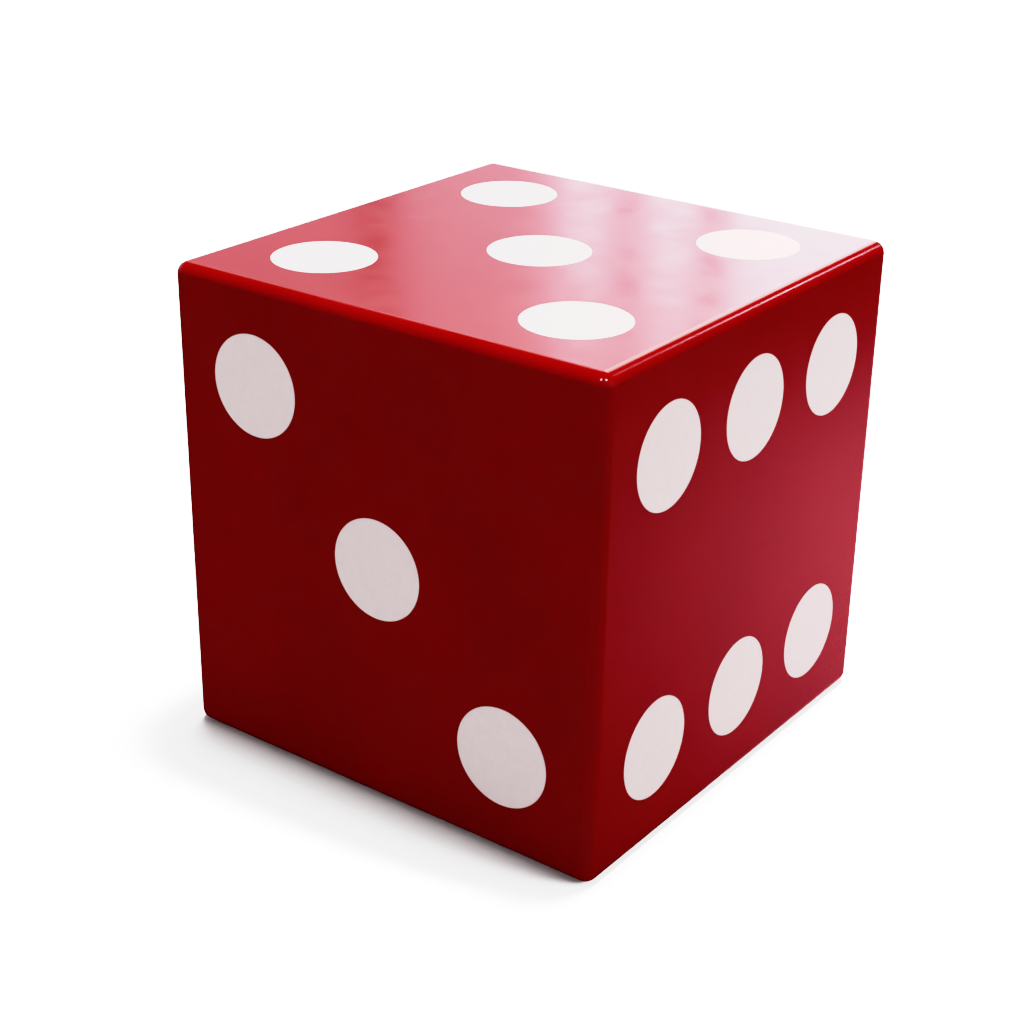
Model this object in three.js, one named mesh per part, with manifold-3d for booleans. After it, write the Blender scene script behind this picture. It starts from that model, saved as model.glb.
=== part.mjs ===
// A giant display die: a hollow cube of lacquered fibreboard with flush round pips.
// Millimetres, +Z up. The origin is the middle of the underside. The front faces -Y.
//
// Four walls and the top meet in mitres, and every outside edge is rounded. The base drops in
// between the walls and is screwed up into the base rails. A batten stands or lies in each of the
// twelve inside corners.

import * as THREE from 'three';
import { RoundedBoxGeometry } from 'three/addons/geometries/RoundedBoxGeometry.js';
import { mergeVertices, toCreasedNormals } from 'three/addons/utils/BufferGeometryUtils.js';
import Module from 'manifold-3d';

// ---------------------------------------------------------------- driving dimensions

const DIE_SIDE = 400;
const EDGE_RADIUS = 10;
const EDGE_SEGMENTS = 5;
const BOARD_THICKNESS = 18;

const PIP_DIAMETER = 82;
const PIP_THICKNESS = 2;
const PIP_PITCH = 118; // from the middle of a face to an outer row of pips
const PIP_SIDES = 40;

const BATTEN_WIDTH = 25;

const SCREW_LENGTH = 35;
const SCREW_SHANK_DIAMETER = 4;
const SCREW_HEAD_DIAMETER = 8;
const SCREW_HEAD_HEIGHT = 2.4;
const SCREW_TIP_LENGTH = 5;
const SCREW_SUNK = 0.5; // how far a head lies below the face
const SCREW_SPACING = 200;
const SCREW_SIDES = 16;
const DRIVE_LENGTH = 4.4;
const DRIVE_WIDTH = 1;
const DRIVE_DEPTH = 1.6;

const JOINT_GAP = 0.3; // glue line or clearance between two pieces that touch
const CUT_MARGIN = 5; // how far a cutting shape runs past the face that it cuts

// ---------------------------------------------------------------- worked-out dimensions

const HALF_SIDE = DIE_SIDE / 2;
const QUARTER_TURN = Math.PI / 2;
const PIP_RADIUS = PIP_DIAMETER / 2;

// Two mitred faces that each step back by this much along a face leave JOINT_GAP between them.
const MITRE_SETBACK = JOINT_GAP / Math.SQRT2;

const INNER_HALF = HALF_SIDE - BOARD_THICKNESS;
const BATTEN_OFFSET = INNER_HALF - JOINT_GAP - BATTEN_WIDTH / 2;
const BATTEN_DEPTH = BOARD_THICKNESS + JOINT_GAP + BATTEN_WIDTH / 2;
const RAIL_LENGTH = 2 * (BATTEN_OFFSET - BATTEN_WIDTH / 2 - JOINT_GAP);
const POST_LENGTH = DIE_SIDE - 2 * (BOARD_THICKNESS + JOINT_GAP);
const BASE_SIDE = 2 * (INNER_HALF - JOINT_GAP);

// ---------------------------------------------------------------- materials

const FINISHES = {
  lacquer: { color: 0x8c0408, roughness: 0.12, metalness: 0 },
  pip: { color: 0xe6dcdc, roughness: 0.3, metalness: 0 },
  pine: { color: 0xcaa878, roughness: 0.75, metalness: 0 },
  steel: { color: 0xb9bab6, roughness: 0.35, metalness: 1 },
};

function finish(name) {
  return new THREE.MeshStandardMaterial({ name, ...FINISHES[name] });
}

// ---------------------------------------------------------------- solids

const wasm = await Module();
wasm.setup();

const CREASE_ANGLE = Math.PI / 6;

function solidOf(geometry) {
  const bare = geometry.clone();
  bare.deleteAttribute('normal');
  bare.deleteAttribute('uv');
  const merged = mergeVertices(bare);
  const mesh = new wasm.Mesh({
    numProp: 3,
    vertProperties: Float32Array.from(merged.attributes.position.array),
    triVerts: Uint32Array.from(merged.index.array),
  });
  return new wasm.Manifold(mesh);
}

function geometryOf(solid) {
  const mesh = solid.getMesh();
  const geometry = new THREE.BufferGeometry();
  geometry.setAttribute('position', new THREE.BufferAttribute(mesh.vertProperties, 3));
  geometry.setIndex(new THREE.BufferAttribute(mesh.triVerts, 1));
  return toCreasedNormals(geometry, CREASE_ANGLE);
}

function cut(solid, tools) {
  return tools.reduce((rest, tool) => rest.subtract(tool), solid);
}

function piece(name, geometry, finishName) {
  const mesh = new THREE.Mesh(geometry, finish(finishName));
  mesh.name = name;
  return mesh;
}

// Every board is made in the frame of its own face: +Z points out of the die, Z = 0 is the face,
// and the middle of the face is the origin.

// The whole die's outside, with all twelve edges and eight corners rounded.
function outsideOfDie() {
  const geometry = new RoundedBoxGeometry(DIE_SIDE, DIE_SIDE, DIE_SIDE, EDGE_SEGMENTS, EDGE_RADIUS);
  geometry.translate(0, 0, -HALF_SIDE);
  return solidOf(geometry);
}

// A board that is mitred or square at its -X and +X ends and endless along Y.
function boardBlank(startIsMitred, endIsMitred) {
  const mitredInside = INNER_HALF - MITRE_SETBACK;
  const mitredOutside = HALF_SIDE + CUT_MARGIN - MITRE_SETBACK;
  const squareEnd = HALF_SIDE + CUT_MARGIN;
  const section = new THREE.Shape();
  section.moveTo(startIsMitred ? -mitredInside : -squareEnd, -BOARD_THICKNESS);
  section.lineTo(endIsMitred ? mitredInside : squareEnd, -BOARD_THICKNESS);
  section.lineTo(endIsMitred ? mitredOutside : squareEnd, CUT_MARGIN);
  section.lineTo(startIsMitred ? -mitredOutside : -squareEnd, CUT_MARGIN);
  section.closePath();
  const geometry = new THREE.ExtrudeGeometry(section, { depth: 2 * squareEnd, bevelEnabled: false });
  geometry.translate(0, 0, -squareEnd);
  geometry.rotateX(QUARTER_TURN);
  return geometry;
}

// The rounded outside, cut down to one board. A wall runs down to the floor unmitred, and the top
// panel is mitred all round.
function boardSolid(lowerEdgeIsMitred) {
  const acrossSides = solidOf(boardBlank(true, true));
  const acrossEnds = solidOf(boardBlank(lowerEdgeIsMitred, true).rotateZ(QUARTER_TURN));
  return outsideOfDie().intersect(acrossSides).intersect(acrossEnds);
}

function basePanelSolid() {
  const geometry = new THREE.BoxGeometry(BASE_SIDE, BASE_SIDE, BOARD_THICKNESS);
  geometry.translate(0, 0, -BOARD_THICKNESS / 2);
  return solidOf(geometry);
}

// ---------------------------------------------------------------- pips

// Places on a face, counted in PIP_PITCH from its middle. The corners come in opposite pairs.
const CORNER_PIPS = [[-1, 1], [1, -1], [-1, -1], [1, 1]];
const MIDDLE_PIP = [0, 0];
const ROW_PIPS = [[0, 1], [0, -1]];

// The centres of a face's pips, in the frame of the face.
function pipPlaces(count) {
  const evenCount = count - (count % 2);
  const places = CORNER_PIPS.slice(0, evenCount);
  if (count % 2 === 1) {
    places.push(MIDDLE_PIP);
  }
  if (count === 6) {
    places.push(...ROW_PIPS);
  }
  return places.map(([across, up]) => [across * PIP_PITCH, up * PIP_PITCH]);
}

// A round tool that reaches from outside the face down to the floor of a pip's pocket.
function pocketTool([x, y]) {
  const radius = PIP_RADIUS + JOINT_GAP;
  const depth = PIP_THICKNESS + JOINT_GAP;
  const geometry = new THREE.CylinderGeometry(radius, radius, depth + CUT_MARGIN, PIP_SIDES);
  geometry.rotateX(QUARTER_TURN);
  geometry.translate(x, y, (CUT_MARGIN - depth) / 2);
  return solidOf(geometry);
}

function addPips(face, faceName, count) {
  pipPlaces(count).forEach(([x, y], index) => {
    const geometry = new THREE.CylinderGeometry(PIP_RADIUS, PIP_RADIUS, PIP_THICKNESS, PIP_SIDES);
    geometry.rotateX(QUARTER_TURN);
    const pip = piece(`pip_${faceName}_${index + 1}`, geometry, 'pip');
    pip.position.set(x, y, -PIP_THICKNESS / 2);
    face.add(pip);
  });
}

// ---------------------------------------------------------------- base screws

// A body of revolution about the face's normal, from [radius, depth below the face] points.
function turned(points) {
  const profile = points.map(([radius, depth]) => new THREE.Vector2(radius, -depth));
  return new THREE.LatheGeometry(profile, SCREW_SIDES).rotateX(QUARTER_TURN);
}

function screwSolid() {
  const shank = SCREW_SHANK_DIAMETER / 2;
  const tip = SCREW_SUNK + SCREW_LENGTH;
  const body = turned([
    [0, tip],
    [shank, tip - SCREW_TIP_LENGTH],
    [shank, SCREW_SUNK + SCREW_HEAD_HEIGHT],
    [SCREW_HEAD_DIAMETER / 2, SCREW_SUNK],
    [0, SCREW_SUNK],
  ]);
  const slot = new THREE.BoxGeometry(DRIVE_LENGTH, DRIVE_WIDTH, 2 * DRIVE_DEPTH);
  slot.translate(0, 0, -SCREW_SUNK);
  const crossSlot = slot.clone().rotateZ(QUARTER_TURN);
  return cut(solidOf(body), [solidOf(slot), solidOf(crossSlot)]);
}

// The countersunk hole for one screw, JOINT_GAP larger than the screw all round, on the side of
// the base that lies this many quarter turns from the first.
function screwHoleTool([x, y], turns) {
  const shank = SCREW_SHANK_DIAMETER / 2 + JOINT_GAP;
  const head = SCREW_HEAD_DIAMETER / 2 + JOINT_GAP;
  const bottom = SCREW_SUNK + SCREW_LENGTH + JOINT_GAP;
  const geometry = turned([
    [0, bottom],
    [shank, bottom],
    [shank, SCREW_SUNK + SCREW_HEAD_HEIGHT],
    [head, SCREW_SUNK],
    [head, -CUT_MARGIN],
    [0, -CUT_MARGIN],
  ]);
  geometry.translate(x, y, 0);
  geometry.rotateZ(turns * QUARTER_TURN);
  return solidOf(geometry);
}

// The two screws of one side of the base, in the frame of the base's face.
const SCREW_PLACES = [-1, 1].map((end) => [end * SCREW_SPACING / 2, -BATTEN_OFFSET]);

// ---------------------------------------------------------------- battens

function railSolid() {
  const geometry = new THREE.BoxGeometry(RAIL_LENGTH, BATTEN_WIDTH, BATTEN_WIDTH);
  geometry.translate(0, -BATTEN_OFFSET, -BATTEN_DEPTH);
  return solidOf(geometry);
}

// Four rails round the inside of a face, each in a group that is turned to its own side.
function addRails(face, sideNames, prefix, solid) {
  const geometry = geometryOf(solid);
  return sideNames.map((sideName, turns) => {
    const side = new THREE.Group();
    side.rotation.z = turns * QUARTER_TURN;
    side.add(piece(`${prefix}_rail_${sideName}`, geometry, 'pine'));
    face.add(side);
    return side;
  });
}

function addPosts(die, cornerNames) {
  const geometry = new THREE.BoxGeometry(BATTEN_WIDTH, BATTEN_WIDTH, POST_LENGTH);
  cornerNames.forEach((cornerName, turns) => {
    const corner = new THREE.Group();
    corner.rotation.z = turns * QUARTER_TURN;
    const post = piece(`post_${cornerName}`, geometry, 'pine');
    post.position.set(-BATTEN_OFFSET, -BATTEN_OFFSET, HALF_SIDE);
    corner.add(post);
    die.add(corner);
  });
}

// ---------------------------------------------------------------- faces

function addWall(die, sideName, turns, pipCount) {
  const side = new THREE.Group();
  side.rotation.z = turns * QUARTER_TURN;
  const face = new THREE.Group();
  face.position.set(0, -HALF_SIDE, HALF_SIDE);
  face.rotation.x = QUARTER_TURN;
  const board = cut(boardSolid(false), pipPlaces(pipCount).map(pocketTool));
  face.add(piece(`wall_${sideName}`, geometryOf(board), 'lacquer'));
  addPips(face, sideName, pipCount);
  side.add(face);
  die.add(side);
}

function addTop(die, pipCount) {
  const face = new THREE.Group();
  face.position.z = DIE_SIDE;
  const board = cut(boardSolid(true), pipPlaces(pipCount).map(pocketTool));
  face.add(piece('top_panel', geometryOf(board), 'lacquer'));
  addPips(face, 'top', pipCount);
  addRails(face, ['front', 'right', 'back', 'left'], 'top', railSolid());
  die.add(face);
}

// The base's face looks down, so seen from outside the sides follow each other the other way.
function addBase(die, pipCount) {
  const face = new THREE.Group();
  face.rotation.y = Math.PI;
  const sideNames = ['front', 'left', 'back', 'right'];
  const holesOfSide = (turns) => SCREW_PLACES.map((place) => screwHoleTool(place, turns));
  const holes = sideNames.flatMap((sideName, turns) => holesOfSide(turns));
  const pockets = pipPlaces(pipCount).map(pocketTool);
  const board = cut(basePanelSolid(), [...pockets, ...holes]);
  face.add(piece('base_panel', geometryOf(board), 'lacquer'));
  addPips(face, 'bottom', pipCount);

  const sides = addRails(face, sideNames, 'base', cut(railSolid(), holesOfSide(0)));
  const screwGeometry = geometryOf(screwSolid());
  sides.forEach((side, sideIndex) => {
    SCREW_PLACES.forEach(([x, y], index) => {
      const screw = piece(`base_screw_${sideNames[sideIndex]}_${index + 1}`, screwGeometry, 'steel');
      screw.position.set(x, y, 0);
      side.add(screw);
    });
  });
  die.add(face);
}

// ---------------------------------------------------------------- the die

const die = new THREE.Group();
addWall(die, 'front', 0, 3);
addWall(die, 'right', 1, 6);
addWall(die, 'back', 2, 4);
addWall(die, 'left', 3, 1);
addTop(die, 5);
addBase(die, 2);
addPosts(die, ['front_left', 'front_right', 'back_right', 'back_left']);

export default die;
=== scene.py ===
"""The looks of a giant display die: gloss red lacquer over fibreboard, with flush white pips.

Metres, +Z up, the origin in the middle of the underside, the face with three pips towards -Y.
The base and the battens keep the CAD's shape. One film of lacquer runs over the walls and the
top, and the boards lie just under it. Finer pips and screws stand for the CAD ones.
"""
import math

import bmesh
import bpy
from mathutils import Matrix, Vector


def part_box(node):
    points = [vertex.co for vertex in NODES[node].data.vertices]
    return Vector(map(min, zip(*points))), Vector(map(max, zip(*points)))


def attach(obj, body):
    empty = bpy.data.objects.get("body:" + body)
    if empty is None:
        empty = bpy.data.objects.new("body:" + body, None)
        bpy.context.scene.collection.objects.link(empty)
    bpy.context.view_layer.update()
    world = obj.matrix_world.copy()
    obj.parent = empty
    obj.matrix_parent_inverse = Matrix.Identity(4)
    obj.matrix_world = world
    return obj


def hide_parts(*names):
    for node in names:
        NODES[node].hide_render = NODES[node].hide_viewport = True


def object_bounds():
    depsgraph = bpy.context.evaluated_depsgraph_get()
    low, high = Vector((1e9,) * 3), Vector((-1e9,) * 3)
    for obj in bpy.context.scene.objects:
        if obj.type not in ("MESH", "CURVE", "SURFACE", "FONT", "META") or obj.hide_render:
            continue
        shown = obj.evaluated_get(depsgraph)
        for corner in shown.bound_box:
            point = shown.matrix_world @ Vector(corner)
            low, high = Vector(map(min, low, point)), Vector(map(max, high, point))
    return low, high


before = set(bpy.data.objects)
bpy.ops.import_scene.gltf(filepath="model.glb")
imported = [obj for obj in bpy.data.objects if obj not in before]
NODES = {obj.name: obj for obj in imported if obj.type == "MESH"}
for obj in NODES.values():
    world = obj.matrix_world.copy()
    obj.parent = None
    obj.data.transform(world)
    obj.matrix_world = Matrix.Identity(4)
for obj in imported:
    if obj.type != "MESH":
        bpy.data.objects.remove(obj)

MM = 0.001

# ---------------------------------------------------------------- sizes

CAD_LOW, CAD_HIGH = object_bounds()
SIDE = CAD_HIGH.x - CAD_LOW.x
HALF = SIDE / 2
CENTRE = (CAD_LOW + CAD_HIGH) / 2

EDGE_RADIUS = 10 * MM
FLAT = HALF - EDGE_RADIUS  # half the width of a face inside its rounded edges
FILM = 0.3 * MM  # primer, colour and clear coat together

PIP_LOW, PIP_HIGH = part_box("pip_front_1")
PIP_RADIUS = (PIP_HIGH.x - PIP_LOW.x) / 2
PIP_DEPTH = PIP_HIGH.y - PIP_LOW.y
PIP_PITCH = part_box("pip_top_1")[1].y - PIP_RADIUS
PIP_GAP = 0.15 * MM  # between the film and the rim of a pip

BASE_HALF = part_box("base_panel")[1].x
BASE_GAP = 0.3 * MM

# ---------------------------------------------------------------- faces

# Each face has a frame of its own: right and up as seen from outside, and out of the die.
X, Y, Z = Vector((1, 0, 0)), Vector((0, 1, 0)), Vector((0, 0, 1))
FACES = {
    "front": (X, Z, -Y),
    "right": (Y, Z, X),
    "back": (-X, Z, Y),
    "left": (-Y, Z, -X),
    "top": (X, Y, Z),
    "bottom": (X, -Y, -Z),
}


def pip_names(face):
    return sorted(name for name in NODES if name.startswith(f"pip_{face}_"))


def middle(name):
    low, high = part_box(name)
    return (low + high) / 2


def pip_places(face):
    """The centres of a face's pips, in the frame of the face."""
    right, up, _ = FACES[face]
    offsets = [middle(name) - CENTRE for name in pip_names(face)]
    return [(offset.dot(right), offset.dot(up)) for offset in offsets]


# ---------------------------------------------------------------- mesh helpers


def add_object(name, build, smooth=True):
    """A new object whose mesh is what build makes of an empty bmesh."""
    form = bmesh.new()
    build(form)
    bmesh.ops.recalc_face_normals(form, faces=form.faces)
    for face in form.faces:
        face.smooth = smooth
    mesh = bpy.data.meshes.new(name)
    form.to_mesh(mesh)
    form.free()
    thing = bpy.data.objects.new(name, mesh)
    bpy.context.scene.collection.objects.link(thing)
    return thing


def add_modifier(thing, kind, **settings):
    modifier = thing.modifiers.new(kind.lower(), kind)
    for key, value in settings.items():
        setattr(modifier, key, value)
    return modifier


def add_ring(form, points):
    return [form.verts.new(point) for point in points]


def join_rings(form, first, second):
    """A band of quads between two closed rings of the same length."""
    count = len(first)
    for i in range(count):
        j = (i + 1) % count
        form.faces.new((first[i], first[j], second[j], second[i]))


# ---------------------------------------------------------------- the film of lacquer

SEGMENTS_PER_CELL = 24  # along one third of a face; a pip's hole has four times as many
EDGE_STEPS = 8  # across half of a rounded edge
MERGE_DISTANCE = 1e-6
FILM_EASE = 0.08 * MM  # eases the film where it ends, at the holes and round the base
FILM_EASE_ANGLE = math.radians(60)


def film_point(face, u, v):
    """A point of the rounded outside, from a point (u, v) on the plane of a square-edged face."""
    right, up, out = FACES[face]
    near_u = max(-FLAT, min(FLAT, u))
    near_v = max(-FLAT, min(FLAT, v))
    bulge = Vector((u - near_u, v - near_v, EDGE_RADIUS)).normalized() * EDGE_RADIUS
    local = Vector((near_u, near_v, FLAT)) + bulge
    return CENTRE + right * local.x + up * local.y + out * local.z


def cell_lines():
    """The lines that part a face's flat into three by three cells, with one pip at most in each."""
    return [-FLAT, -PIP_PITCH / 2, PIP_PITCH / 2, FLAT]


def flat_stops():
    lines = cell_lines()
    stops = []
    for start, end in zip(lines, lines[1:]):
        stops += [start + (end - start) * i / SEGMENTS_PER_CELL for i in range(SEGMENTS_PER_CELL)]
    return stops + [FLAT]


def edge_stops():
    """Where the rounded edge's rows fall beyond the flat, at even angles up to 45 degrees."""
    angles = [math.pi / 4 * (i + 1) / EDGE_STEPS for i in range(EDGE_STEPS)]
    return [FLAT + EDGE_RADIUS * math.tan(angle) for angle in angles]


def outline(stops_u, stops_v):
    """The points round a rectangle of stops, anticlockwise from its lower left corner."""
    lower = [(u, stops_v[0]) for u in stops_u[:-1]]
    right = [(stops_u[-1], v) for v in stops_v[:-1]]
    upper = [(u, stops_v[-1]) for u in reversed(stops_u[1:])]
    left = [(stops_u[0], v) for v in reversed(stops_v[1:])]
    return lower + right + upper + left


def add_rounded_edges(form, face):
    beyond = edge_stops()
    stops = [-u for u in reversed(beyond)] + flat_stops() + beyond
    for u0, u1 in zip(stops, stops[1:]):
        for v0, v1 in zip(stops, stops[1:]):
            if max(abs(u0 + u1), abs(v0 + v1)) / 2 > FLAT:
                corners = [(u0, v0), (u1, v0), (u1, v1), (u0, v1)]
                form.faces.new([form.verts.new(film_point(face, u, v)) for u, v in corners])


def add_flat_cells(form, face):
    """A cell with a pip is a band round its hole. Any other cell is one face."""
    stops = flat_stops()
    places = pip_places(face)
    for column in range(3):
        for row in range(3):
            first_u, first_v = column * SEGMENTS_PER_CELL, row * SEGMENTS_PER_CELL
            stops_u = stops[first_u : first_u + SEGMENTS_PER_CELL + 1]
            stops_v = stops[first_v : first_v + SEGMENTS_PER_CELL + 1]
            rim = add_ring(form, [film_point(face, u, v) for u, v in outline(stops_u, stops_v)])
            inside = [
                place
                for place in places
                if stops_u[0] < place[0] < stops_u[-1] and stops_v[0] < place[1] < stops_v[-1]
            ]
            if inside:
                hole = add_ring(form, hole_points(face, inside[0], len(rim)))
                join_rings(form, rim, hole)
            else:
                form.faces.new(rim)


def hole_points(face, place, count):
    """Round the hole for a pip, from its lower left."""
    radius = PIP_RADIUS + PIP_GAP
    angles = [2 * math.pi * i / count - math.pi * 3 / 4 for i in range(count)]
    spots = [(place[0] + radius * math.cos(a), place[1] + radius * math.sin(a)) for a in angles]
    return [film_point(face, u, v) for u, v in spots]


def add_base_opening(form):
    """Under the die the film ends at the edge of the base."""
    stops = flat_stops()
    shrink = (BASE_HALF + BASE_GAP) / FLAT
    spots = outline(stops, stops)
    outer = add_ring(form, [film_point("bottom", u, v) for u, v in spots])
    inner = add_ring(form, [film_point("bottom", u * shrink, v * shrink) for u, v in spots])
    join_rings(form, outer, inner)


def build_film(form):
    for face in FACES:
        add_rounded_edges(form, face)
        if face == "bottom":
            add_base_opening(form)
        else:
            add_flat_cells(form, face)
    bmesh.ops.remove_doubles(form, verts=form.verts, dist=MERGE_DISTANCE)


def make_film(material):
    film = add_object("lacquer_film", build_film)
    add_modifier(film, "SOLIDIFY", thickness=FILM, offset=-1)
    add_modifier(film, "BEVEL", width=FILM_EASE, segments=2, angle_limit=FILM_EASE_ANGLE)
    add_modifier(film, "WEIGHTED_NORMAL", keep_sharp=True)
    film.data.materials.append(material)
    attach(film, "root")
    return film


# ---------------------------------------------------------------- boards

LACQUERED_BOARDS = ("wall_front", "wall_right", "wall_back", "wall_left", "top_panel")


def make_board(name, material):
    """A board as it lies under the film: the CAD board, drawn in by the film's thickness."""
    mesh = NODES[name].data.copy()
    shrink = Matrix.Scale(1 - FILM / HALF, 4)
    mesh.transform(Matrix.Translation(CENTRE) @ shrink @ Matrix.Translation(-CENTRE))
    mesh.materials.clear()
    mesh.materials.append(material)
    board = bpy.data.objects.new(f"{name}_board", mesh)
    bpy.context.scene.collection.objects.link(board)
    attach(board, "root")
    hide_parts(name)
    return board


# ---------------------------------------------------------------- pips

PIP_SEGMENTS = 128
PIP_BEVEL = 0.25 * MM
BEVEL_STEPS = 3


def turned(form, profile, segments):
    """A body turned about Z from (radius, height) points. Both ends of the profile are closed."""
    rings = []
    for radius, height in profile:
        angles = [2 * math.pi * i / segments for i in range(segments)]
        spots = [(radius * math.cos(a), radius * math.sin(a), height) for a in angles]
        rings.append(add_ring(form, spots))
    for first, second in zip(rings, rings[1:]):
        join_rings(form, first, second)
    form.faces.new(rings[0])
    form.faces.new(rings[-1])


def build_pip(form):
    """A disc with its face at height 0 and an eased rim."""
    angles = [math.pi / 2 * i / BEVEL_STEPS for i in range(BEVEL_STEPS + 1)]
    rim = PIP_RADIUS - PIP_BEVEL
    eased = [(rim + PIP_BEVEL * math.sin(a), -PIP_BEVEL * (1 - math.cos(a))) for a in angles]
    turned(form, [*eased, (PIP_RADIUS, -PIP_DEPTH)], PIP_SEGMENTS)


def face_matrix(face, place):
    """Turns a piece made with its face up at the origin into its place on a face of the die."""
    right, up, out = FACES[face]
    spot = CENTRE + right * place[0] + up * place[1] + out * HALF
    turn = Matrix((right, up, out)).transposed().to_4x4()
    return Matrix.Translation(spot) @ turn


def make_pips(material):
    for face in FACES:
        for name, place in zip(pip_names(face), pip_places(face)):
            pip = add_object(f"{name}_disc", build_pip)
            pip.data.transform(face_matrix(face, place))
            add_modifier(pip, "WEIGHTED_NORMAL", keep_sharp=True)
            pip.data.materials.append(material)
            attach(pip, "root")
            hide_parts(name)


# ---------------------------------------------------------------- screws

SCREW_NODES = sorted(name for name in NODES if name.startswith("base_screw_"))
SCREW_LOW, SCREW_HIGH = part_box(SCREW_NODES[0])
HEAD_RADIUS = (SCREW_HIGH.x - SCREW_LOW.x) / 2
HEAD_LEVEL = CAD_LOW.z - SCREW_LOW.z  # the head's top, from the face; it lies below
SCREW_LENGTH = SCREW_HIGH.z - SCREW_LOW.z
HEAD_RIM = 0.2 * MM
HEAD_HEIGHT = 2.4 * MM
CREST_RADIUS = HEAD_RADIUS / 2
ROOT_RADIUS = CREST_RADIUS * 0.68
NECK_RADIUS = CREST_RADIUS * 0.8  # the plain part under the head
THREAD_PITCH = 1.8 * MM
THREAD_START = 7 * MM  # below the head's top
THREAD_SHARPNESS = 3  # the ridge is 2/3 of the pitch wide at its foot
TIP_LENGTH = 5 * MM
ROWS_PER_TURN = 8
SCREW_SEGMENTS = 48

RECESS_RADIUS = 2.2 * MM
RECESS_WIDTH = 0.5 * MM  # half the width of one arm of the cross
RECESS_DEPTH = 1.6 * MM
RECESS_SLOPE = 0.35 * MM  # how far the recess's walls lean
HEAD_RINGS = 20
FIRST_RING = 0.3  # of the step from one ring to the next


def ease(x):
    x = max(0.0, min(1.0, x))
    return x * x * (3 - 2 * x)


def recess_depth(x, y):
    """The depth of the cross recess, which is deepest in its middle."""
    across, along = sorted((abs(x), abs(y)))
    inside = ease((RECESS_WIDTH - across) / RECESS_SLOPE + 0.5)
    within = ease((RECESS_RADIUS - along) / RECESS_SLOPE + 0.5)
    return RECESS_DEPTH * inside * within * (1 - 0.5 * along / RECESS_RADIUS)


def head_radii():
    """Rings over the head's top, from its middle to its rim."""
    outermost = HEAD_RADIUS - HEAD_RIM / 2
    return [outermost * (i + FIRST_RING) / HEAD_RINGS for i in range(HEAD_RINGS)]


def thread_radius(depth, turn):
    """The threaded part's radius at this depth, this part of a turn round the screw."""
    taper = min(1.0, (SCREW_LENGTH - depth) / TIP_LENGTH)
    phase = (depth / THREAD_PITCH - turn) % 1
    ridge = max(0.0, 1 - THREAD_SHARPNESS * abs(phase - 0.5))
    return taper * (ROOT_RADIUS + (CREST_RADIUS - ROOT_RADIUS) * ridge)


def shank_rows(turns):
    """Rings down from the rim of the head to the tip: each one's depth, and its radius all round."""
    plain = [
        (HEAD_RIM / 2, HEAD_RADIUS),
        (HEAD_RIM, HEAD_RADIUS),
        (HEAD_HEIGHT, NECK_RADIUS),
        (THREAD_START, NECK_RADIUS),
    ]
    rows = [(depth, [radius] * len(turns)) for depth, radius in plain]
    step = THREAD_PITCH / ROWS_PER_TURN
    count = int((SCREW_LENGTH - THREAD_START) / step)
    for i in range(1, count):
        depth = THREAD_START + i * step
        rows.append((depth, [thread_radius(depth, turn) for turn in turns]))
    return rows


def build_screw(form):
    """A countersunk wood screw, its head up with its top at height 0."""
    turns = [i / SCREW_SEGMENTS for i in range(SCREW_SEGMENTS)]
    ways = [(math.cos(2 * math.pi * turn), math.sin(2 * math.pi * turn)) for turn in turns]
    rings = []
    for radius in head_radii():
        spots = [(radius * x, radius * y) for x, y in ways]
        rings.append(add_ring(form, [(x, y, -recess_depth(x, y)) for x, y in spots]))
    for depth, radii in shank_rows(turns):
        rings.append(add_ring(form, [(r * x, r * y, -depth) for r, (x, y) in zip(radii, ways)]))
    for first, second in zip(rings, rings[1:]):
        join_rings(form, first, second)
    form.faces.new(rings[0])
    tip = form.verts.new((0, 0, -SCREW_LENGTH))
    for i in range(SCREW_SEGMENTS):
        form.faces.new((rings[-1][i], rings[-1][(i + 1) % SCREW_SEGMENTS], tip))


def make_screws(material):
    right, up, _ = FACES["bottom"]
    for name in SCREW_NODES:
        offset = middle(name) - CENTRE
        screw = add_object(f"{name}_threaded", build_screw)
        sunk = Matrix.Translation((0, 0, HEAD_LEVEL))
        screw.data.transform(face_matrix("bottom", (offset.dot(right), offset.dot(up))) @ sunk)
        add_modifier(screw, "WEIGHTED_NORMAL", keep_sharp=True)
        screw.data.materials.append(material)
        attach(screw, "root")
        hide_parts(name)


# ---------------------------------------------------------------- material helpers


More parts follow.
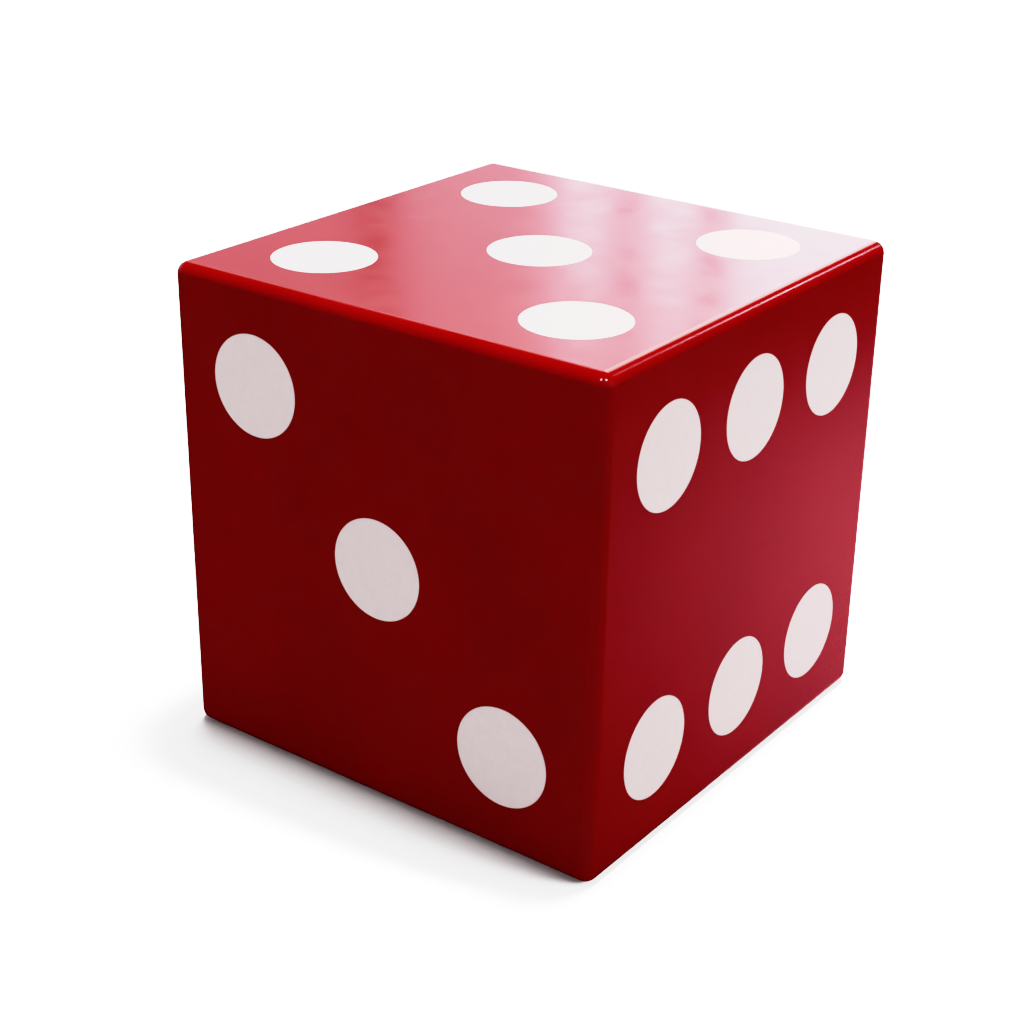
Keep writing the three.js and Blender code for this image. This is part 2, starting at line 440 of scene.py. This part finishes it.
class Shader:
    """A material under construction: a Principled shader and the nodes that feed it."""

    def __init__(self, name, **values):
        self.material = bpy.data.materials.new(name)
        self.material.use_nodes = True
        self.tree = self.material.node_tree
        self.shader = self.tree.nodes["Principled BSDF"]
        for socket, value in values.items():
            self.shader.inputs[socket.replace("_", " ")].default_value = value
        self.place = self.tree.nodes.new("ShaderNodeTexCoord").outputs["Object"]

    def node(self, kind, **settings):
        made = self.tree.nodes.new(kind)
        for key, value in settings.items():
            setattr(made, key, value)
        return made

    def link(self, source, target):
        self.tree.links.new(source, target)

    def noise(self, size, detail=2.0, roughness=0.5, stretch=(1, 1, 1), seed=0.0):
        """Soft noise whose lumps are about this size, longer along an axis that is stretched."""
        mapping = self.node("ShaderNodeMapping")
        mapping.inputs["Scale"].default_value = [1 / (size * s) for s in stretch]
        mapping.inputs["Location"].default_value = (seed, seed, seed)
        self.link(self.place, mapping.inputs["Vector"])
        texture = self.node("ShaderNodeTexNoise")
        texture.inputs["Scale"].default_value = 1.0
        texture.inputs["Detail"].default_value = detail
        texture.inputs["Roughness"].default_value = roughness
        self.link(mapping.outputs["Vector"], texture.inputs["Vector"])
        return texture.outputs["Fac"]

    def between(self, amount, low, high, spread=(0.35, 0.65)):
        """A number from low to high as the noise goes across its usual spread."""
        ramp = self.node("ShaderNodeMapRange")
        ramp.inputs["From Min"].default_value = spread[0]
        ramp.inputs["From Max"].default_value = spread[1]
        ramp.inputs["To Min"].default_value = low
        ramp.inputs["To Max"].default_value = high
        self.link(amount, ramp.inputs["Value"])
        return ramp.outputs["Result"]

    def blend(self, amount, first, second):
        """A colour between two, by a number from 0 to 1. Each is a colour or a socket."""
        mix = self.node("ShaderNodeMix", data_type="RGBA")
        for socket, colour in zip(mix.inputs[6:8], (first, second)):
            if isinstance(colour, tuple):
                socket.default_value = (*colour, 1)
            else:
                self.link(colour, socket)
        self.link(amount, mix.inputs["Factor"])
        return mix.outputs[2]

    def bump(self, height, depth, below=None):
        """Relief of this depth in metres, on top of the relief below."""
        relief = self.node("ShaderNodeBump")
        relief.inputs["Distance"].default_value = depth
        self.link(height, relief.inputs["Height"])
        if below is not None:
            self.link(below, relief.inputs["Normal"])
        return relief.outputs["Normal"]

    def feed(self, socket, source):
        self.link(source, self.shader.inputs[socket])


# ---------------------------------------------------------------- materials

DEEP_RED = (0.158, 0.0005, 0.0010)
RED = (0.172, 0.0007, 0.0014)
PIP_SHADE = (0.612, 0.504, 0.510)
PIP_WHITE = (0.638, 0.522, 0.528)


def lacquer_material():
    """Sprayed gloss lacquer: a deep red under a clear film with fine orange peel."""
    paint = Shader("gloss_red", IOR=1.5)
    tint = paint.between(paint.noise(120 * MM, detail=3), 0, 1)
    paint.feed("Base Color", paint.blend(tint, DEEP_RED, RED))
    paint.feed("Roughness", paint.between(paint.noise(35 * MM, detail=4, seed=3), 0.16, 0.22))
    waves = paint.bump(paint.noise(70 * MM, detail=1, seed=7), 0.04 * MM)
    peel = paint.bump(paint.noise(3.5 * MM, detail=1, seed=11), 0.012 * MM, waves)
    paint.feed("Normal", peel)
    return paint.material


def pip_material():
    """White acrylic sheet, a little less glossy than the lacquer."""
    white = Shader("white_acrylic", IOR=1.49)
    mottle = white.between(white.noise(6 * MM, detail=4), 0, 1)
    white.feed("Base Color", white.blend(mottle, PIP_SHADE, PIP_WHITE))
    white.feed("Roughness", white.between(white.noise(20 * MM, detail=3, seed=5), 0.28, 0.38))
    white.feed("Normal", white.bump(white.noise(2 * MM, detail=2, seed=9), 0.006 * MM))
    return white.material


FIBRE_DARK = (0.30, 0.19, 0.10)
FIBRE_PALE = (0.42, 0.28, 0.16)
PAINT_LEVELS = (0.1 * MM, 0.3 * MM)  # between these heights the paint gives way to bare board


def fibreboard_material():
    """Medium density fibreboard: pale brown with fine fibres."""
    board = Shader("fibreboard")
    fibres = board.between(board.noise(0.8 * MM, detail=4), 0, 1)
    board.feed("Base Color", board.blend(fibres, FIBRE_DARK, FIBRE_PALE))
    board.feed("Roughness", board.between(board.noise(10 * MM, detail=3, seed=2), 0.75, 0.9))
    board.feed("Normal", board.bump(board.noise(0.5 * MM, detail=3, seed=4), 0.03 * MM))
    return board.material


def base_material():
    """The base as it shows: lacquer on its underside, bare fibreboard above."""
    base = Shader("painted_base", IOR=1.5)
    parts = base.node("ShaderNodeSeparateXYZ")
    base.link(base.place, parts.inputs["Vector"])
    bare = base.between(parts.outputs["Z"], 0, 1, spread=PAINT_LEVELS)
    tint = base.between(base.noise(90 * MM, detail=3), 0, 1)
    fibres = base.between(base.noise(0.8 * MM, detail=4), 0, 1)
    paint = base.blend(tint, DEEP_RED, RED)
    board = base.blend(fibres, FIBRE_DARK, FIBRE_PALE)
    base.feed("Base Color", base.blend(bare, paint, board))
    base.feed("Roughness", base.between(bare, 0.24, 0.8, spread=(0, 1)))
    base.feed("Normal", base.bump(base.noise(3.5 * MM, detail=2, seed=6), 0.02 * MM))
    return base.material


PINE_PALE = (0.60, 0.40, 0.20)
PINE_BODY = (0.55, 0.36, 0.18)
PINE_DARK = (0.38, 0.20, 0.075)
RING_TURNS = 42.0  # radians of the growth rings' wave over the whole range of the noise
GRAIN_STRETCH = 25  # how much longer than wide the grain is


def pine_material(axis):
    """Planed pine: growth rings and fine fibres drawn out along the batten."""
    pine = Shader(f"pine_along_{'xyz'[axis]}")
    along = [1, 1, 1]
    along[axis] = GRAIN_STRETCH
    wobble = pine.noise(14 * MM, detail=3, stretch=along, seed=axis + 1.0)
    spin = pine.node("ShaderNodeMath", operation="MULTIPLY")
    spin.inputs[1].default_value = RING_TURNS
    rings = pine.node("ShaderNodeMath", operation="SINE")
    pine.link(wobble, spin.inputs[0])
    pine.link(spin.outputs["Value"], rings.inputs[0])
    grain = pine.between(rings.outputs["Value"], 0, 1, spread=(0.2, 1.0))
    fibres = pine.noise(0.7 * MM, detail=3, stretch=along, seed=4)
    body = pine.blend(pine.between(fibres, 0, 1), PINE_BODY, PINE_PALE)
    pine.feed("Base Color", pine.blend(grain, body, PINE_DARK))
    pine.feed("Roughness", pine.between(fibres, 0.6, 0.75))
    pine.feed("Normal", pine.bump(fibres, 0.05 * MM))
    return pine.material


ZINC_DULL = (0.50, 0.49, 0.44)
ZINC_BRIGHT = (0.66, 0.66, 0.64)


def zinc_material():
    """Bright zinc plate with the faint clouding of a barrel-plated screw."""
    zinc = Shader("zinc_plate", Metallic=1.0)
    cloud = zinc.between(zinc.noise(1.5 * MM, detail=4), 0, 1)
    zinc.feed("Base Color", zinc.blend(cloud, ZINC_DULL, ZINC_BRIGHT))
    zinc.feed("Roughness", zinc.between(zinc.noise(0.6 * MM, detail=3, seed=8), 0.28, 0.45))
    zinc.feed("Normal", zinc.bump(zinc.noise(0.3 * MM, detail=2, seed=1), 0.004 * MM))
    return zinc.material


# ---------------------------------------------------------------- CAD nodes that stay

BATTEN_EASE = 1.0 * MM


def finish_node(name, material):
    for slot in NODES[name].material_slots:
        slot.material = material


def long_axis(name):
    low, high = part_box(name)
    size = high - low
    return max(range(3), key=lambda axis: size[axis])


def finish_battens():
    pine = [pine_material(axis) for axis in range(3)]
    battens = [name for name in NODES if "_rail_" in name or name.startswith("post_")]
    for name in battens:
        finish_node(name, pine[long_axis(name)])
        add_modifier(NODES[name], "BEVEL", width=BATTEN_EASE, segments=2)


# ---------------------------------------------------------------- camera

# In sides of the die, from the middle of its underside.
CAMERA_PLACE = Vector((2.1294, -2.9607, 2.1048))
CAMERA_AIM = Vector((-0.0371, -0.0267, 0.4396))
CAMERA_ROLL = math.radians(0.86)
CAMERA_LENS = 68.26
SENSOR_WIDTH = 36.0


def make_camera():
    data = bpy.data.cameras.new("camera")
    data.lens = CAMERA_LENS
    data.sensor_width = SENSOR_WIDTH
    data.clip_start = 0.05
    data.clip_end = 100
    camera = bpy.data.objects.new("camera", data)
    bpy.context.scene.collection.objects.link(camera)
    sight = (CAMERA_AIM - CAMERA_PLACE).to_track_quat("-Z", "Y").to_matrix().to_4x4()
    roll = Matrix.Rotation(CAMERA_ROLL, 4, "Z")
    camera.matrix_world = Matrix.Translation(CAMERA_PLACE * SIDE) @ sight @ roll
    bpy.context.scene.camera = camera


# ---------------------------------------------------------------- floor and lights

FLOOR_HALF = 30.0
FLOOR_WHITE = 0.97
FLOOR_SHADE = 0.99  # of the white, in the darker grain of the paper
BOUNCE_WHITE = 0.4
BOUNCE_DEPTH = 1 * MM

SKY = 0.3

# Sun lamps: how strong, how wide in degrees, and where the light comes from. The fills are almost
# level, so they light the sides and leave the floor and its shadows alone.
SUNS = {
    "overhead": (8.7, 16, (0.01, 0.125, 1.0)),
    "front_fill": (1.2, 10, (0.30, -1.0, 0.09)),
    "back_fill": (2.0, 10, (-0.40, 1.0, 0.09)),
}

# A low sun from behind on the right that lights only the floor. It reaches in under the rounded
# lower edge on the right, and leaves the shadow along the front.
FLOOR_WASH = (6.5, 30, (1.0, 0.45, 0.51))

PANEL_COLOUR = (1.40, 0.90, 1.08)
RIM_COLOUR = (1.50, 0.80, 0.80)

# Panels that only the gloss shows: how far each turns round from +Y towards -X, from where to
# where it rises above the level, both in degrees seen from the middle of the die, how bright it
# is and its colour. The wall strips are what the top mirrors, and the rims above them carry that
# a little way over its rounded edges. The edge line draws the line along the right edge, and the
# lamps make the two dots at the front corner. The side panels are for the faces that the camera
# doesn't see.
PANELS = {
    "wall_strip_1": ((14, 29), (-1, 24), 4.85, PANEL_COLOUR),
    "wall_strip_2": ((30, 32), (-1, 24), 4.6, PANEL_COLOUR),
    "wall_strip_3": ((33, 35), (-1, 24), 3.8, PANEL_COLOUR),
    "wall_strip_4": ((35, 41), (-1, 24), 1.25, PANEL_COLOUR),
    "wall_strip_5": ((42, 62), (-1, 24), 0.8, PANEL_COLOUR),
    "right_rim": ((8, 30), (24, 42), 6.5, RIM_COLOUR),
    "left_rim_1": ((31, 45), (24, 38), 2.8, RIM_COLOUR),
    "left_rim_2": ((46, 60), (24, 38), 1.8, RIM_COLOUR),
    "edge_line": ((-21, -16), (27, 31.5), 22.0, PANEL_COLOUR),
    "front_lamp": ((188, 198), (52, 62), 60.0, PANEL_COLOUR),
    "right_lamp": ((248, 258), (47, 57), 60.0, PANEL_COLOUR),
    "left_panel": ((65, 115), (-2, 35), 0.5, PANEL_COLOUR),
    "right_panel": ((245, 305), (-2, 30), 0.25, PANEL_COLOUR),
}
PANEL_DISTANCE = 8.0

# A lamp beside the right face, towards the back. Its place is in sides of the die.
SIDE_LAMP_PLACE = Vector((3.2, 1.9, 0.55))
SIDE_LAMP_WIDTH = 1.0
SIDE_LAMP_WATTS = 12.2

# An oval glow on the floor behind the die, which the right face mirrors. Its sizes are in sides
# of the die.
GLOW_MIDDLE = Vector((0.25, 1.87, 0.0))
GLOW_RADII = Vector((1.7, 2.5, 1.0))
GLOW_COLOUR = (1.0, 0.27, 0.40)
GLOW_STRENGTH = 2.6
GLOW_SEGMENTS = 128


def add_sheet(name, height, white):
    """A large level sheet of paper."""

    def build(form):
        corners = [(-1, -1), (1, -1), (1, 1), (-1, 1)]
        spots = [(x * FLOOR_HALF, y * FLOOR_HALF, height) for x, y in corners]
        form.faces.new([form.verts.new(spot) for spot in spots])

    sheet = add_object(name, build)
    paper = Shader(name, Roughness=1.0, Specular_IOR_Level=0.0)
    grain = paper.between(paper.noise(60 * MM, detail=4), 0, 1)
    paper.feed("Base Color", paper.blend(grain, (white * FLOOR_SHADE,) * 3, (white,) * 3))
    sheet.data.materials.append(paper.material)
    sheet.visible_glossy = False
    return sheet


def make_floor():
    """The floor in view, and a greyer sheet just under it that throws the softer bounce."""
    floor = add_sheet("floor", 0.0, FLOOR_WHITE)
    floor.visible_diffuse = False
    floor.visible_shadow = False
    bounce = add_sheet("floor_bounce", -BOUNCE_DEPTH, BOUNCE_WHITE)
    bounce.visible_camera = False
    receivers = bpy.data.collections.new("floor_only")
    receivers.objects.link(floor)
    wash = make_sun("floor_wash", *FLOOR_WASH)
    wash.light_linking.receiver_collection = receivers


def glow_material(name, strength, colour):
    material = bpy.data.materials.new(name)
    material.use_nodes = True
    tree = material.node_tree
    tree.nodes.clear()
    glow = tree.nodes.new("ShaderNodeEmission")
    glow.inputs["Color"].default_value = (*colour, 1)
    glow.inputs["Strength"].default_value = strength
    output = tree.nodes.new("ShaderNodeOutputMaterial")
    tree.links.new(glow.outputs["Emission"], output.inputs["Surface"])
    return material


def only_reflected(thing):
    """Seen in the gloss only: it lights nothing, casts no shadow and isn't in view."""
    thing.visible_camera = False
    thing.visible_diffuse = False
    thing.visible_shadow = False


def make_panel(name, turns, rises, strength, colour):
    def corner(turn, rise):
        turn, rise = math.radians(turn), math.radians(rise)
        across = Vector((-math.sin(turn), math.cos(turn), math.tan(rise)))
        return across * PANEL_DISTANCE + CENTRE

    def build(form):
        (first, last), (low, high) = turns, rises
        places = [(first, low), (last, low), (last, high), (first, high)]
        form.faces.new([form.verts.new(corner(*place)) for place in places])

    panel = add_object(name, build)
    panel.data.materials.append(glow_material(name, strength, colour))
    only_reflected(panel)


def make_floor_glow():
    """An oval patch whose light fades to nothing at its rim."""

    def build(form):
        angles = [2 * math.pi * i / GLOW_SEGMENTS for i in range(GLOW_SEGMENTS)]
        form.faces.new(add_ring(form, [(math.cos(a), math.sin(a), 0) for a in angles]))

    patch = add_object("floor_glow", build)
    patch.location = GLOW_MIDDLE * SIDE
    patch.scale = GLOW_RADII * SIDE
    material = glow_material("floor_glow", GLOW_STRENGTH, GLOW_COLOUR)
    tree = material.node_tree
    place = tree.nodes.new("ShaderNodeTexCoord")
    inward = tree.nodes.new("ShaderNodeTexGradient")
    inward.gradient_type = "SPHERICAL"
    strength = tree.nodes.new("ShaderNodeMapRange")
    strength.interpolation_type = "SMOOTHSTEP"
    strength.inputs["To Max"].default_value = GLOW_STRENGTH
    tree.links.new(place.outputs["Object"], inward.inputs["Vector"])
    tree.links.new(inward.outputs["Fac"], strength.inputs["Value"])
    tree.links.new(strength.outputs["Result"], tree.nodes["Emission"].inputs["Strength"])
    patch.data.materials.append(material)
    only_reflected(patch)


def make_side_lamp():
    data = bpy.data.lights.new("side_lamp", "AREA")
    data.shape = "DISK"
    data.size = SIDE_LAMP_WIDTH * SIDE
    data.energy = SIDE_LAMP_WATTS
    lamp = bpy.data.objects.new("side_lamp", data)
    lamp.location = SIDE_LAMP_PLACE * SIDE
    lamp.rotation_euler = (lamp.location - CENTRE).to_track_quat("Z", "Y").to_euler()
    lamp.visible_glossy = False
    bpy.context.scene.collection.objects.link(lamp)


def make_sun(name, strength, spread, come_from):
    data = bpy.data.lights.new(name, "SUN")
    data.energy = strength
    data.angle = math.radians(spread)
    sun = bpy.data.objects.new(name, data)
    sun.rotation_euler = Vector(come_from).to_track_quat("Z", "Y").to_euler()
    sun.visible_glossy = False
    bpy.context.scene.collection.objects.link(sun)
    return sun


def make_sky():
    world = bpy.data.worlds.new("studio")
    bpy.context.scene.world = world
    world.use_nodes = True
    world.node_tree.nodes["Background"].inputs["Color"].default_value = (1, 1, 1, 1)
    world.node_tree.nodes["Background"].inputs["Strength"].default_value = SKY
    world.cycles_visibility.glossy = False


def make_lights():
    make_sky()
    for name, settings in SUNS.items():
        make_sun(name, *settings)
    make_side_lamp()
    for name, settings in PANELS.items():
        make_panel(name, *settings)
    make_floor_glow()


# ---------------------------------------------------------------- picture

# A print's tones against the light in the scene: a short toe, straight through the reds, and a
# long shoulder that keeps the pips below the white of the paper.
TONES = [
    (0.0, 0.0),
    (0.012, 0.002),
    (0.06, 0.038),
    (0.16, 0.127),
    (0.28, 0.270),
    (0.6, 0.62),
    (0.8, 0.745),
    (1.0, 0.82),
    (1.5, 0.875),
    (2.1, 0.90),
    (2.8, 0.99),
    (4.0, 1.0),
]


def set_tones():
    view = bpy.context.scene.view_settings
    view.view_transform = "Standard"
    view.use_curve_mapping = True
    mapping = view.curve_mapping
    mapping.use_clip = False
    mapping.extend = "HORIZONTAL"
    for channel in range(3):
        tone = mapping.curves[channel]
        tone.points[0].location = TONES[0]
        tone.points[-1].location = TONES[-1]
        for light, shown in TONES[1:-1]:
            tone.points.new(light, shown)
    mapping.update()


# ---------------------------------------------------------------- the die

make_camera()
make_floor()
make_lights()
set_tones()

lacquer = lacquer_material()
fibreboard = fibreboard_material()
make_film(lacquer)
make_pips(pip_material())
for board_name in LACQUERED_BOARDS:
    make_board(board_name, fibreboard)
make_screws(zinc_material())
finish_node("base_panel", base_material())
finish_battens()
